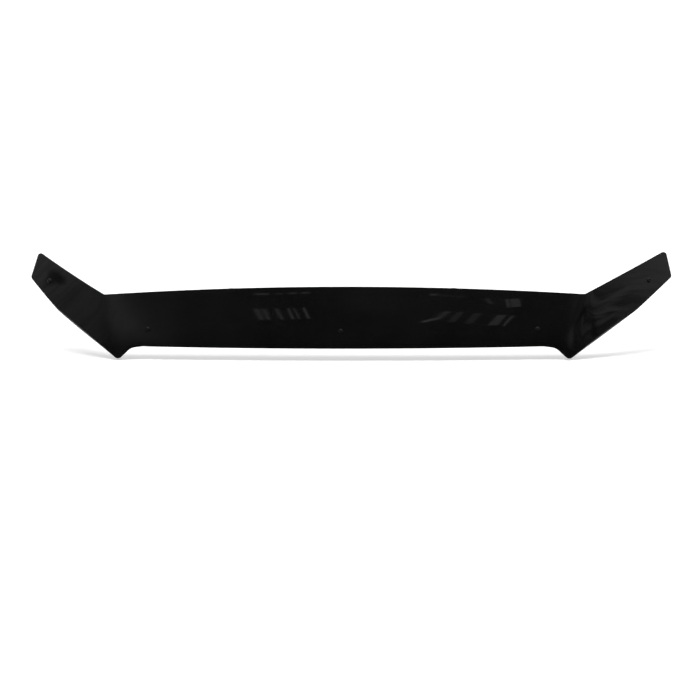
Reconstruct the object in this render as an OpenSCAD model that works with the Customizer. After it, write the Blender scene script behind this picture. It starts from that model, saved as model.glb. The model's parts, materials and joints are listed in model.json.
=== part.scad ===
// Hood bug deflector: one thermoformed acrylic shield with a drop at each corner and a wing at
// each end, five domed screws, their rubber spacers and two rubber rest pads.
// Millimetres. +X to the right seen from the front, -Y to the front, +Z up. The origin is the
// centre fixing's seat on the hood: the middle of its spacer's back face, where the free shank
// starts.

/* [Middle band] */
// Width of the middle band, between the notches of the upper edge
notch_w = 1144; // [1000:1:1250]
// Height of the upper edge at the middle, above the centre fixing
crest_h = 102; // [90:0.5:130]
// Height of the upper edge at the notches, above the centre fixing
notch_h = 81; // [70:0.5:95]
// How far each end of the straight lower edge lies inside the start of the ramp
lower_in = 28; // [20:1:60]
// Depth of the lower edge at the middle, below the centre fixing
lower_drop = 41; // [30:0.5:50]
// How far the lower edge rises from its middle to its ends
lower_rise = 2.5; // [0:0.5:6]
// How far the middle of the band bows out in front of its ends
bow = 28; // [5:1:60]

/* [Corner drops] */
// How far the lowest point of a drop lies inside the notch above it
drop_in = 36; // [25:1:50]
// Depth of the drops below the centre fixing
drop_depth = 71; // [62:0.5:80]
// Depth below the centre fixing where the lower edge turns into the drop
ramp_depth = 42.5; // [39:0.5:47]
// How far the start of the ramp lies inside the lowest point of its drop
ramp_in = 31; // [26:1:40]
// Radius of the turn from the lower edge into the drop
ramp_r = 30; // [10:1:40]
// Radius at the lowest point of a drop
drop_r = 12; // [9:0.5:14]

/* [Wings] */
// How far a wing reaches out beyond the notch
wing_w = 195; // [150:1:240]
// How far the upper corner of a wing lies inside its end
tip_in = 16; // [5:1:40]
// Height of the upper corners of the wings, above the centre fixing
tip_h = 167; // [150:1:190]
// Height of the outer corners of the wings, above the centre fixing
end_h = 107.5; // [95:0.5:120]
// How far the bend of the lower wing edge lies inside the wing's end
knee_in = 75; // [50:1:110]
// Height of that bend above the centre fixing
knee_h = 40; // [20:1:46]
// Radius of the bend of a lower wing edge
knee_r = 120; // [40:5:160]
// Radius of the upper corner of a wing
tip_r = 9; // [5:0.5:14]
// Radius of the outer corner of a wing
end_r = 7; // [4:0.5:12]
// Radius in the notch between band and wing
notch_r = 9; // [5:0.5:20]
// How much more a wing turns back than the band, in degrees
wing_turn = 10; // [4:1:20]
// How much more the face leans back at the end of a wing, in degrees
wing_lean = 20; // [5:1:25]
// Softness of the bend between band and wing
bend_soft = 16; // [8:1:40]

/* [Sheet] */
// Thickness of the acrylic sheet
sheet_t = 3; // [2:0.1:4]
// Slope of the face at the centre fixing, in degrees back from upright
lean_deg = 13; // [4:0.5:22]
// Radius of the face from its lower to its upper edge
face_r = 700; // [400:10:2000]
// Outer radius of the rolled lower edge
roll_r = 6; // [4.5:0.1:7]
// Depth of the flat return behind the rolled edge
return_d = 7; // [2:0.5:12]
// Length of the curl that is left at the end of a wing
curl_end_l = 2; // [1:0.1:3]
// Angle of the curl that is left at the end of a wing, in degrees
curl_end_deg = 2; // [1:1:10]
// Depth of the return that is left at the end of a wing
return_end_d = 1; // [0.5:0.1:2]

/* [Fixings] */
// How far an outer fixing of the band lies inside the notch
side_fix_in = 109; // [90:1:200]
// Height of the outer fixings of the band, above the centre fixing
side_fix_h = 2; // [-10:0.5:20]
// Distance of a wing's fixing from the wing's end, along the middle of the wing
wing_fix_in = 54.5; // [30:0.5:90]
// How far a wing's fixing lies below the middle of the wing
wing_fix_down = 5.5; // [0:0.5:12]
// Diameter of a screw's shank, over its thread
shank_d = 5; // [4:0.1:5.5]
// Diameter of the plain neck between the head and the thread
neck_d = 4.6; // [3:0.1:4.8]
// Length of the shank that stands free behind the spacer
shank_free = 18; // [10:0.5:30]
// Diameter of a screw's head
head_d = 12.5; // [10:0.1:15]
// Height of a screw's domed head
head_h = 3.4; // [2.4:0.1:4.5]
// Height of the straight rim of a screw's head
head_rim = 0.8; // [0.4:0.1:1.2]
// Length of the cross recess, end to end
recess_l = 5.6; // [4:0.1:7]
// Width of one arm of the cross recess
recess_w = 1.2; // [0.8:0.1:1.6]
// Depth of the cross recess
recess_d = 1.7; // [1:0.1:2]
// Clearance of the shield's holes round the shank, on the radius
hole_gap = 1; // [0.5:0.1:1.4]
// Clearance of the spacers' bores round the shank, on the radius
bore_gap = 0.2; // [0.1:0.05:0.5]
// Gap between the flat seats and the curved sheet
seat_gap = 0.3; // [0.25:0.05:0.4]

/* [Spacers and rest pads] */
// Diameter of a spacer's two flanges
spacer_d = 17; // [14:0.5:22]
// Diameter of a spacer's waist
waist_d = 13; // [10:0.5:13.5]
// Length of a spacer
spacer_l = 10; // [8:0.5:16]
// Thickness of a spacer's flanges
flange_t = 2.4; // [1.5:0.1:3]
// Edge chamfer of spacers and screw shanks
chamfer = 0.6; // [0.3:0.1:0.8]
// Distance between the two rest pads
pad_span = 528; // [300:1:800]
// Width of a rest pad
pad_w = 14; // [10:0.5:20]
// Length of a rest pad, up the face
pad_l = 24; // [18:0.5:34]
// Thickness of a rest pad
pad_t = 9; // [6:0.5:14]
// How far a rest pad stands above the upper edge
pad_proud = 1.5; // [0:0.1:3]
// Corner radius of a rest pad
pad_r = 3; // [1:0.5:4]

/* [Hidden] */

// Facets of the round pieces, and of the domed heads
$fn = 48;
dome_fn = 96;

// Colours of the acrylic, of the blackened steel and of the two rubbers
smoke = [0.05, 0.05, 0.06];
black = [0.09, 0.09, 0.09];
spacer_grey = [0.16, 0.16, 0.17];
pad_grey = [0.2, 0.2, 0.21];

// Stations along one half: straight band, bands of the drop, wing, and each corner arc
band_steps = 14;
ramp_steps = 4;
slope_steps = 3;
arc_steps = 5;
bend_steps = 5;
knee_steps = 5;
wing_steps = 4;
// Rows across the face and round the rolled edge
face_rows = 8;
roll_rows = 4;
// How closely the stations crowd towards a corner
crowd = 1.6;
// Shares of a wing's upper edge that lie before and up to the end of the bend below it
over_slope = 0.42;
over_knee = 0.58;

notch_x = notch_w / 2;
drop_x = notch_x - drop_in;
ramp_x = drop_x - ramp_in;
lower_x = ramp_x - lower_in;
end_x = notch_x + wing_w;
tip_x = end_x - tip_in;
knee_x = end_x - knee_in;

// The bend between band and wing runs from the notch down to the drop, at this slant
slant = (notch_x - drop_x) / (notch_h + drop_depth);
twist = tan(wing_lean) / (tip_x - notch_x);

// Distance from the middle, measured square to the slanting bend once it is near
function reach(x, z) = abs(x) + slant * (notch_h - z) * min(1, pow(x / notch_x, 2));
// Distance beyond the bend, rising softly from nothing
function beyond(u) = (u - notch_x + sqrt(pow(u - notch_x, 2) + pow(bend_soft, 2))) / 2;
// How far the face lies behind the middle of the centre fixing's face
function depth(x, z) =
    let (u = reach(x, z))
    bow * pow(u / notch_x, 2)
    + tan(wing_turn) * (beyond(u) - beyond(0))
    + (tan(lean_deg) + z / (2 * face_r) + twist * beyond(u)) * z;

// Normal of the face, pointing back through the sheet
probe = 0.5;
function unit(v) = v / norm(v);
function face_normal(x, z) = unit([
    (depth(x - probe, z) - depth(x + probe, z)) / (2 * probe),
    1,
    (depth(x, z - probe) - depth(x, z + probe)) / (2 * probe)
]);

// Outlines of the right half, seen from the front

function mix(a, b, f) = a + (b - a) * f;
// The n points from a to before b
function line(a, b, n) = [for (i = [0 : n - 1]) mix(a, b, i / n)];
// The n - 1 points between a and b, crowded towards a by a power above 1, towards b by one below
function between(a, b, n, power = 1) =
    [for (i = [1 : n - 1]) mix(a, b, pow(i / n, power))];

// A corner at p between a and b, rounded with radius r, as n + 1 points
function corner(a, p, b, r, n) =
    let (
        u = unit(a - p),
        v = unit(b - p),
        half = acos(u * v) / 2,
        centre = p + unit(u + v) * r / sin(half),
        from = p + u * r / tan(half) - centre,
        to = p + v * r / tan(half) - centre,
        sweep = 180 - 2 * half
    )
    [for (i = [0 : n])
        centre + (from * sin(sweep * (1 - i / n)) + to * sin(sweep * i / n)) / sin(sweep)];

low_start = [0, -lower_drop];
low_band = [lower_x, -lower_drop + lower_rise];
low_ramp = [ramp_x, -ramp_depth];
low_tip = [drop_x, -drop_depth];
low_knee = [knee_x, knee_h];
low_end = [end_x, end_h];
top_notch = [notch_x, notch_h];
top_tip = [tip_x, tip_h];

// The upper edge of the band, and the way it runs inward from the notch
function crest(x) = [x, crest_h - (crest_h - notch_h) * pow(x / notch_x, 2)];
crest_way = [-1, 2 * (crest_h - notch_h) / notch_x];
function last(list) = list[len(list) - 1];

ramp_arc = corner(low_band, low_ramp, low_tip, ramp_r, ramp_steps);
drop_arc = corner(low_ramp, low_tip, low_knee, drop_r, arc_steps);
knee_arc = corner(low_tip, low_knee, low_end, knee_r, knee_steps);
end_arc = corner(low_knee, low_end, top_tip, end_r, arc_steps);
notch_arc = corner(top_notch + crest_way, top_notch, top_tip, notch_r, arc_steps);
tip_arc = corner(top_notch, top_tip, low_end, tip_r, arc_steps);

// The lower edge rises a little from its middle, along a shallow curve
function low_edge(f) = [
    mix(low_start[0], low_band[0], f),
    mix(low_start[1], low_band[1], f * f)
];

lower_half = concat(
    [for (i = [0 : band_steps - 1]) low_edge(i / band_steps)],
    [low_band],
    ramp_arc,
    between(last(ramp_arc), drop_arc[0], slope_steps, 1 / crowd),
    drop_arc,
    between(last(drop_arc), knee_arc[0], bend_steps, crowd),
    knee_arc,
    between(last(knee_arc), end_arc[0], wing_steps),
    end_arc
);

// The upper edge has as many points, each above its partner of the lower edge
near_steps = ramp_steps + slope_steps + 1;
near_top_x = notch_arc[0][0] - (drop_arc[0][0] - low_band[0]);
slope_end = mix(last(notch_arc), tip_arc[0], over_slope);
knee_end = mix(last(notch_arc), tip_arc[0], over_knee);
upper_half = concat(
    [for (i = [0 : band_steps - 1]) crest(near_top_x * i / band_steps)],
    [for (i = [0 : near_steps - 1])
        crest(near_top_x + lower_half[band_steps + i][0] - low_band[0])],
    notch_arc,
    between(last(notch_arc), slope_end, bend_steps, crowd),
    line(slope_end, knee_end, knee_steps),
    line(knee_end, tip_arc[0], wing_steps),
    tip_arc
);

half_count = len(lower_half);

// Sections of the shield, each a list of points from the return up to the upper edge

// Direction in the front view from the lower edge into the sheet
function inward(i) =
    let (
        a = lower_half[max(0, i - 1)],
        b = lower_half[min(half_count - 1, i + 1)],
        t = i == 0 ? [1, 0] : unit(b - a)
    )
    [-t[1], t[0]];

function place(p, behind = 0) = [p[0], depth(p[0], p[1]) + behind, p[1]];

// How far out along the wing a station lies, from 0 at the drop to 1 at the end
function along_wing(i) =
    min(1, max(0, (lower_half[i][0] - drop_x) / (end_arc[0][0] - drop_x)));

// A section as pairs of place and normal, from the edge of the return up to the upper edge.
// The curl turns 90 degrees on the band and opens out towards the end of the wing, where it
// keeps its radius or more, so that the inner skin never folds.
function section(i) =
    let (
        low = lower_half[i],
        top = upper_half[i],
        f = along_wing(i),
        angle = mix(90, curl_end_deg, f),
        curl_l = mix(roll_r * PI / 2, curl_end_l, f),
        back = mix(return_d, return_end_d, f),
        r = curl_l / (angle * PI / 180),
        dir = unit(mix(inward(i), unit(top - low), f * f)),
        start = back * cos(angle),
        foot = low + dir * (start + r * sin(angle)),
        up = [dir[0], 0, dir[1]]
    )
    concat(
        [[place(low, r * (1 - cos(angle)) + back * sin(angle)), tilted(up, low, angle)]],
        [for (k = [0 : roll_rows - 1])
            let (
                a = angle * (1 - k / roll_rows),
                p = low + dir * (start + r * (sin(angle) - sin(a)))
            )
            [place(p, r * (1 - cos(a))), tilted(up, p, a)]
        ],
        [for (k = [0 : face_rows])
            let (p = mix(foot, top, k / face_rows))
            [place(p), face_normal(p[0], p[1])]
        ]
    );

// Normal of the curl where it has turned back by a
function tilted(up, p, a) = unit(up * sin(a) + face_normal(p[0], p[1]) * cos(a));

function flip(v) = [-v[0], v[1], v[2]];
right_half = [for (i = [0 : half_count - 1]) section(i)];
stations = concat(
    [for (i = [half_count - 1 : -1 : 1]) [for (q = right_half[i]) [flip(q[0]), flip(q[1])]]],
    right_half
);
rows = len(right_half[0]);
count = len(stations);

outer_skin = [for (s = stations) for (q = s) q[0]];
inner_skin = [for (s = stations) for (q = s) q[0] + q[1] * sheet_t];

// Numbers of the points of the outer and the inner skin
function outer(i, j) = i * rows + j;
function inner(i, j) = count * rows + i * rows + j;

// The two skins, then the long edges, then the two ends
shield_faces = concat(
    [for (i = [0 : count - 2]) for (j = [0 : rows - 2]) each [
        [outer(i, j), outer(i, j + 1), outer(i + 1, j + 1)],
        [outer(i, j), outer(i + 1, j + 1), outer(i + 1, j)],
        [inner(i, j), inner(i + 1, j + 1), inner(i, j + 1)],
        [inner(i, j), inner(i + 1, j), inner(i + 1, j + 1)]
    ]],
    [for (i = [0 : count - 2]) each [
        [outer(i, 0), outer(i + 1, 0), inner(i + 1, 0)],
        [outer(i, 0), inner(i + 1, 0), inner(i, 0)],
        [outer(i, rows - 1), inner(i + 1, rows - 1), outer(i + 1, rows - 1)],
        [outer(i, rows - 1), inner(i, rows - 1), inner(i + 1, rows - 1)]
    ]],
    [for (j = [0 : rows - 2]) each [
        [outer(0, j), inner(0, j + 1), outer(0, j + 1)],
        [outer(0, j), inner(0, j), inner(0, j + 1)],
        [outer(count - 1, j), outer(count - 1, j + 1), inner(count - 1, j + 1)],
        [outer(count - 1, j), inner(count - 1, j + 1), inner(count - 1, j)]
    ]]
);

// Places of the fixings in the front view

wing_root = (top_notch + low_tip) / 2;
wing_end = (top_tip + low_end) / 2;
wing_way = unit(wing_root - wing_end);
wing_fix = wing_end + wing_way * wing_fix_in + [-wing_way[1], wing_way[0]] * wing_fix_down;
centre_fix = [0, 0];
right_fix = [notch_x - side_fix_in, side_fix_h];
left_fix = [-right_fix[0], right_fix[1]];
right_wing_fix = wing_fix;
left_wing_fix = [-wing_fix[0], wing_fix[1]];
fixings = [centre_fix, left_fix, right_fix, left_wing_fix, right_wing_fix];

hole_r = shank_d / 2 + hole_gap;
spacer_front = sheet_t + seat_gap;
spacer_back = spacer_front + spacer_l;
hood_seat = place(centre_fix) + face_normal(centre_fix[0], centre_fix[1]) * spacer_back;

// Moves what is drawn round the centre fixing's face point to the part's own origin
module from_seat() {
    translate(-hood_seat)
        children();
}

// Children stand on the face at p, with +Y along its normal to the back
module on_face(p) {
    n = face_normal(p[0], p[1]);
    translate(place(p))
        rotate([asin(n[2]), 0, atan2(-n[0], n[1])])
            children();
}

// A rod along +Y from one depth to another
module rod(r, from, to) {
    translate([0, from, 0])
        rotate([-90, 0, 0])
            cylinder(r = r, h = to - from);
}

module shield() {
    color(smoke)
        from_seat()
            difference() {
                polyhedron(concat(outer_skin, inner_skin), shield_faces, convexity = 8);
                for (p = fixings)
                    on_face(p)
                        rod(hole_r, -sheet_t, 2 * sheet_t);
            }
}

// A domed screw with a cross recess: a plain neck through shield and spacer, then the thread
module screw(p) {
    shank_r = shank_d / 2;
    head_r = head_d / 2;
    dome_h = head_h - head_rim;
    dome_r = (head_r * head_r + dome_h * dome_h) / (2 * dome_h);
    shank_end = spacer_back + shank_free;
    head_top = -seat_gap - head_h;
    color(black)
        from_seat()
            on_face(p)
                difference() {
                    union() {
                        intersection() {
                            rod(head_r, head_top, -seat_gap);
                            translate([0, head_top + dome_r, 0])
                                sphere(r = dome_r, $fn = dome_fn);
                        }
                        rod(neck_d / 2, -seat_gap - head_rim, spacer_back);
                        rod(shank_r, spacer_back, shank_end - chamfer);
                        translate([0, shank_end - chamfer, 0])
                            rotate([-90, 0, 0])
                                cylinder(r1 = shank_r, r2 = shank_r - chamfer, h = chamfer);
                    }
                    for (quarter = [0, 90])
                        rotate([0, quarter, 0])
                            translate([-recess_l / 2, head_top - head_h, -recess_w / 2])
                                cube([recess_l, recess_d + head_h, recess_w]);
                }
}

// A rubber spacer with a flange at each end
module spacer(p) {
    flange_r = spacer_d / 2;
    waist_r = waist_d / 2;
    bore_r = shank_d / 2 + bore_gap;
    slope = (flange_r - waist_r) / 2;
    color(spacer_grey)
        from_seat()
            on_face(p)
                translate([0, spacer_front, 0])
                    rotate([-90, 0, 0])
                        rotate_extrude()
                            polygon([
                                [bore_r, 0],
                                [flange_r - chamfer, 0],
                                [flange_r, chamfer],
                                [flange_r, flange_t],
                                [waist_r, flange_t + slope],
                                [waist_r, spacer_l - flange_t - slope],
                                [flange_r, spacer_l - flange_t],
                                [flange_r, spacer_l - chamfer],
                                [flange_r - chamfer, spacer_l],
                                [bore_r, spacer_l]
                            ]);
}

// A rectangle with rounded corners
module rounded(w, l, r) {
    square([w, l - 2 * r], center = true);
    square([w - 2 * r, l], center = true);
    for (x = [-1, 1])
        for (y = [-1, 1])
            translate([x * (w / 2 - r), y * (l / 2 - r)])
                circle(r);
}

// A rest pad behind the upper edge
module bumper(side) {
    edge = crest(pad_span / 2);
    middle = [side * edge[0], edge[1] + pad_proud - pad_l / 2 * cos(lean_deg)];
    color(pad_grey)
        from_seat()
            on_face(middle)
                translate([0, sheet_t + seat_gap, 0])
                    rotate([-90, 0, 0])
                        linear_extrude(pad_t)
                            rounded(pad_w, pad_l, pad_r);
}

shield();
screw(centre_fix);  // screw_centre
screw(left_fix);  // screw_left
screw(right_fix);  // screw_right
screw(left_wing_fix);  // screw_wing_left
screw(right_wing_fix);  // screw_wing_right
spacer(centre_fix);  // spacer_centre
spacer(left_fix);  // spacer_left
spacer(right_fix);  // spacer_right
spacer(left_wing_fix);  // spacer_wing_left
spacer(right_wing_fix);  // spacer_wing_right
bumper(-1);  // bumper_left
bumper(1);  // bumper_right
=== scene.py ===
# %% [markdown]
# # A hood bug deflector in Blender
#
# The object is a shield of black acrylic that stands on the front edge of a hood. It is one thin
# sheet: a wide middle band, a pointed drop at each lower corner and a wing at each end. Five
# domed screws hold it, each through a rubber spacer, and two rubber pads keep its upper edge off
# the paint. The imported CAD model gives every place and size. This lesson dresses it: each piece is
# modelled again with the detail that the eye looks for, and each finish is made from nodes.

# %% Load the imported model
import json
import math

import bmesh
import bpy
import numpy as np
from mathutils import Matrix, Vector

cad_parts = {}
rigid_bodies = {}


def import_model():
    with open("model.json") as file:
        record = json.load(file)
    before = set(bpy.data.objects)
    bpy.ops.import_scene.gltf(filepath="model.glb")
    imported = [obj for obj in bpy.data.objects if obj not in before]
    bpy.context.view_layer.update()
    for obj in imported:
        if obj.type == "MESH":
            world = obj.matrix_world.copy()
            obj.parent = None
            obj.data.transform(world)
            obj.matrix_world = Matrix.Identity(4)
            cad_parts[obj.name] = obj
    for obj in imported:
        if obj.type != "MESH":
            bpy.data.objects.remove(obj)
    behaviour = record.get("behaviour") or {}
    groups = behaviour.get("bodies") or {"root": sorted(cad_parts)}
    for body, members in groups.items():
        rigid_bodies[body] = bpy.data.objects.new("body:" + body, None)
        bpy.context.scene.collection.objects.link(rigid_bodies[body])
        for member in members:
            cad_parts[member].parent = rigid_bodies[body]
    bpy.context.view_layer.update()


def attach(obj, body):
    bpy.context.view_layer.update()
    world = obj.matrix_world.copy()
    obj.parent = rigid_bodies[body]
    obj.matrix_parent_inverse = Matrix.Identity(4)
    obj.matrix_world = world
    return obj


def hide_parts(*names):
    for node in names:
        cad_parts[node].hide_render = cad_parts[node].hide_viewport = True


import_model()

bpy.ops.object.select_all(action="DESELECT")

# %% [markdown]
# ## Sizes
#
# A maker works in millimetres and Blender in metres, so sizes are written in millimetres and
# multiplied by MM where they meet a mesh. They repeat the sizes of the CAD source. Everything is
# first drawn round the middle of the sheet's face at the centre screw, and then moved so that the
# origin is the seat on the hood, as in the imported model.

# %% Sizes of the sheet
MM = 0.001

NOTCH_W, CREST_H, NOTCH_H = 1144.0, 102.0, 81.0
LOWER_IN, LOWER_DROP, LOWER_RISE, BOW = 28.0, 41.0, 2.5, 28.0
DROP_IN, DROP_DEPTH, RAMP_DEPTH, RAMP_IN = 36.0, 71.0, 42.5, 31.0
RAMP_R, DROP_R = 30.0, 12.0
WING_W, TIP_IN, TIP_H, END_H = 195.0, 16.0, 167.0, 107.5
KNEE_IN, KNEE_H, KNEE_R = 75.0, 40.0, 120.0
TIP_R, END_R, NOTCH_R = 9.0, 7.0, 9.0
WING_TURN, WING_LEAN, BEND_SOFT = math.radians(10), math.radians(20), 16.0
SHEET_T, LEAN, FACE_R = 3.0, math.radians(13), 700.0
ROLL_R, RETURN_D = 6.0, 7.0
CURL_END_L, CURL_END, RETURN_END_D = 2.0, math.radians(2), 1.0

notch_x = NOTCH_W / 2
drop_x = notch_x - DROP_IN
ramp_x = drop_x - RAMP_IN
lower_x = ramp_x - LOWER_IN
end_x = notch_x + WING_W
tip_x = end_x - TIP_IN
knee_x = end_x - KNEE_IN
slant = (notch_x - drop_x) / (NOTCH_H + DROP_DEPTH)
twist = math.tan(WING_LEAN) / (tip_x - notch_x)
print("half width", end_x, "mm, notch at", notch_x, "mm")

# %% [markdown]
# ## The face of the sheet
#
# Heated acrylic takes one smooth, double-curved shape over its mould: it bows forward in the
# middle, leans back, and bends back and over along a slanting line where each wing begins. One
# formula gives how far back the face lies at any place of the front view, and its slope gives the
# direction square to the sheet, which the screws and pads need too.

# %% Depth and direction of the face


def reach(x, z):
    """Distance from the middle, measured square to the slanting bend once it is near."""
    return np.abs(x) + slant * (NOTCH_H - z) * np.minimum(1, (x / notch_x) ** 2)


def beyond(u):
    """Distance beyond the bend, rising softly from nothing."""
    return (u - notch_x + np.sqrt((u - notch_x) ** 2 + BEND_SOFT**2)) / 2


def depth(x, z):
    u = reach(x, z)
    lean = math.tan(LEAN) + z / (2 * FACE_R) + twist * beyond(u)
    return BOW * (u / notch_x) ** 2 + math.tan(WING_TURN) * (beyond(u) - beyond(0)) + lean * z


def unit(v):
    v = np.asarray(v, float)
    return v / np.linalg.norm(v, axis=-1, keepdims=True)


def to_the_back(x, z, probe=0.5):
    """Direction square to the face, pointing back through the sheet."""
    along = (depth(x - probe, z) - depth(x + probe, z)) / (2 * probe)
    across = (depth(x, z - probe) - depth(x, z + probe)) / (2 * probe)
    return unit(np.stack([along, np.ones_like(along), across], axis=-1))


middle = np.float64(0.0)
SEAT_GAP, SPACER_L = 0.3, 10.0
spacer_front = SHEET_T + SEAT_GAP
spacer_back = spacer_front + SPACER_L
hood_seat = np.array([0, depth(middle, middle), 0]) + to_the_back(middle, middle) * spacer_back
print("seat of the centre screw behind the face, mm:", hood_seat.round(4))

# %% [markdown]
# ## The outline
#
# Seen from the front the sheet has a lower edge and an upper edge. Both are cut into the same
# number of stations, so that station 40 of the lower edge belongs to station 40 of the upper one.
# Stations lie closer together where the outline turns, because that is where a coarse mesh shows.

# %% Stations along both edges


def mix(a, b, f):
    return np.asarray(a, float) + (np.asarray(b, float) - np.asarray(a, float)) * f


def run(a, b, n, power=1.0):
    """The n points from a to before b."""
    return [mix(a, b, (i / n) ** power) for i in range(n)]


def round_corner(a, p, b, r, n):
    """A corner at p between a and b, rounded with radius r, as n + 1 points."""
    u, v = unit(np.subtract(a, p)), unit(np.subtract(b, p))
    half = math.acos(float(u @ v)) / 2
    centre = p + unit(u + v) * r / math.sin(half)
    start, stop = p + u * r / math.tan(half) - centre, p + v * r / math.tan(half) - centre
    sweep = math.pi - 2 * half
    return [
        centre + (start * math.sin(sweep * (1 - i / n)) + stop * math.sin(sweep * i / n))
        / math.sin(sweep)
        for i in range(n + 1)
    ]


def crest(x):
    return np.array([x, CREST_H - (CREST_H - NOTCH_H) * (x / notch_x) ** 2])


BAND, RAMP, SLOPE, ARC, BEND, KNEE, WING = 54, 9, 8, 11, 26, 14, 22
CROWD, OVER_SLOPE, OVER_KNEE = 1.6, 0.42, 0.58

low_band = np.array([lower_x, -LOWER_DROP + LOWER_RISE])
low_ramp, low_tip = np.array([ramp_x, -RAMP_DEPTH]), np.array([drop_x, -DROP_DEPTH])
low_knee, low_end = np.array([knee_x, KNEE_H]), np.array([end_x, END_H])
top_notch, top_tip = np.array([notch_x, NOTCH_H]), np.array([tip_x, TIP_H])
crest_way = np.array([-1, 2 * (CREST_H - NOTCH_H) / notch_x])

ramp_arc = round_corner(low_band, low_ramp, low_tip, RAMP_R, RAMP)
drop_arc = round_corner(low_ramp, low_tip, low_knee, DROP_R, ARC)
knee_arc = round_corner(low_tip, low_knee, low_end, KNEE_R, KNEE)
end_arc = round_corner(low_knee, low_end, top_tip, END_R, ARC)
notch_arc = round_corner(top_notch + crest_way, top_notch, top_tip, NOTCH_R, ARC)
tip_arc = round_corner(top_notch, top_tip, low_end, TIP_R, ARC)

lower_edge = (
    [np.array([lower_x * i / BAND, -LOWER_DROP + LOWER_RISE * (i / BAND) ** 2]) for i in range(BAND)]
    + run(low_band, ramp_arc[0], 4)
    + ramp_arc
    + run(ramp_arc[-1], drop_arc[0], SLOPE, 1 / CROWD)[1:]
    + drop_arc
    + run(drop_arc[-1], knee_arc[0], BEND, CROWD)[1:]
    + knee_arc
    + run(knee_arc[-1], end_arc[0], WING)[1:]
    + end_arc
)
near = 4 + RAMP + SLOPE
near_top_x = notch_arc[0][0] - (drop_arc[0][0] - low_band[0])
slope_end = mix(notch_arc[-1], tip_arc[0], OVER_SLOPE)
knee_end = mix(notch_arc[-1], tip_arc[0], OVER_KNEE)
upper_edge = (
    [crest(near_top_x * i / BAND) for i in range(BAND)]
    + [crest(near_top_x + lower_edge[BAND + i][0] - low_band[0]) for i in range(near)]
    + notch_arc
    + run(notch_arc[-1], slope_end, BEND, CROWD)[1:]
    + run(slope_end, knee_end, KNEE)
    + run(knee_end, tip_arc[0], WING)
    + tip_arc
)
assert len(lower_edge) == len(upper_edge)
print("stations on the right half:", len(lower_edge))

# %% [markdown]
# ## One section of the sheet
#
# At each station the sheet is cut from below to above: a short return behind the lower edge, a
# rolled edge, and the face. On the band the roll turns a full quarter. Along a wing it opens out
# until the sheet simply ends, as it does on the real one, where a tight roll would wrinkle.

# %% Points of a section
RETURN_ROWS, ROLL_ROWS, FACE_ROWS = 3, 9, 34


def ripple(x, z):
    """Slight waves that a formed sheet keeps, in mm: hardly any on the band, more on a wing."""
    out = np.clip((reach(x, z) - notch_x) / 60, 0, 1)
    wave = np.sin(x / 11.0 + z / 17.0) + 0.8 * np.sin(z / 9.0 - x / 23.0 + 1.3)
    slow = np.sin(x / 41.0 + 0.7) * np.sin(z / 33.0 + 0.4)
    return 0.03 * out * wave + (0.02 + 0.08 * out) * slow


def face_point(p, behind=0.0):
    x, z = np.float64(p[0]), np.float64(p[1])
    return np.array([x, depth(x, z) + behind, z])


def section(i):
    low, top = lower_edge[i], upper_edge[i]
    before, after = lower_edge[max(0, i - 1)], lower_edge[min(len(lower_edge) - 1, i + 1)]
    tangent = np.array([1.0, 0.0]) if i == 0 else unit(after - before)
    f = min(1, max(0, (low[0] - drop_x) / (end_arc[0][0] - drop_x)))
    angle = math.pi / 2 + (CURL_END - math.pi / 2) * f
    curl = ROLL_R * math.pi / 2 + (CURL_END_L - ROLL_R * math.pi / 2) * f
    back = RETURN_D + (RETURN_END_D - RETURN_D) * f
    r = curl / angle
    inward = np.array([-tangent[1], tangent[0]])
    way = unit(mix(inward, unit(top - low), f * f))
    start = back * math.cos(angle)
    foot = low + way * (start + r * math.sin(angle))
    points = []
    for k in range(RETURN_ROWS):
        g = k / RETURN_ROWS
        behind = r * (1 - math.cos(angle)) + back * math.sin(angle) * (1 - g)
        points.append(face_point(low + way * start * g, behind))
    for k in range(ROLL_ROWS):
        a = angle * (1 - k / ROLL_ROWS)
        p = low + way * (start + r * (math.sin(angle) - math.sin(a)))
        points.append(face_point(p, r * (1 - math.cos(a))))
    for k in range(FACE_ROWS + 1):
        p = mix(foot, top, k / FACE_ROWS)
        x, z = np.float64(p[0]), np.float64(p[1])
        fade = min(1, k / 4)
        points.append(face_point(p) + to_the_back(x, z) * ripple(x, z) * fade)
    return np.array(points)


right_half = np.array([section(i) for i in range(len(lower_edge))])
left_half = right_half[:0:-1] * [-1, 1, 1]
skin = (np.concatenate([left_half, right_half]) - hood_seat) * MM
columns, rows = skin.shape[:2]
print("the sheet's skin has", columns, "columns and", rows, "rows")

# %% [markdown]
# ## Small helpers for modelling
#
# Operators act on whatever is selected, so each helper first selects just what it means. In edit
# mode, faces and edges are picked by their place or their direction, as the eye would pick them.

# %% Helpers


def only(piece):
    """Selects one piece and makes it the active one."""
    bpy.ops.object.select_all(action="DESELECT")
    piece.select_set(True)
    bpy.context.view_layer.objects.active = piece
    return piece


def pick_faces(piece, test):
    """In edit mode, selects the faces whose centre and direction pass a test."""
    bpy.ops.mesh.select_mode(type="FACE")
    bpy.ops.mesh.select_all(action="DESELECT")
    bm = bmesh.from_edit_mesh(piece.data)
    for face in bm.faces:
        face.select_set(bool(test(face.calc_center_median(), face.normal)))
    bm.select_flush_mode()
    bmesh.update_edit_mesh(piece.data)


def pick_edges(piece, test):
    """In edit mode, selects the edges whose two ends pass a test."""
    bpy.ops.mesh.select_mode(type="EDGE")
    bpy.ops.mesh.select_all(action="DESELECT")
    bm = bmesh.from_edit_mesh(piece.data)
    for edge in bm.edges:
        edge.select_set(bool(test(edge.verts[0].co, edge.verts[1].co)))
    bmesh.update_edit_mesh(piece.data)


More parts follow.
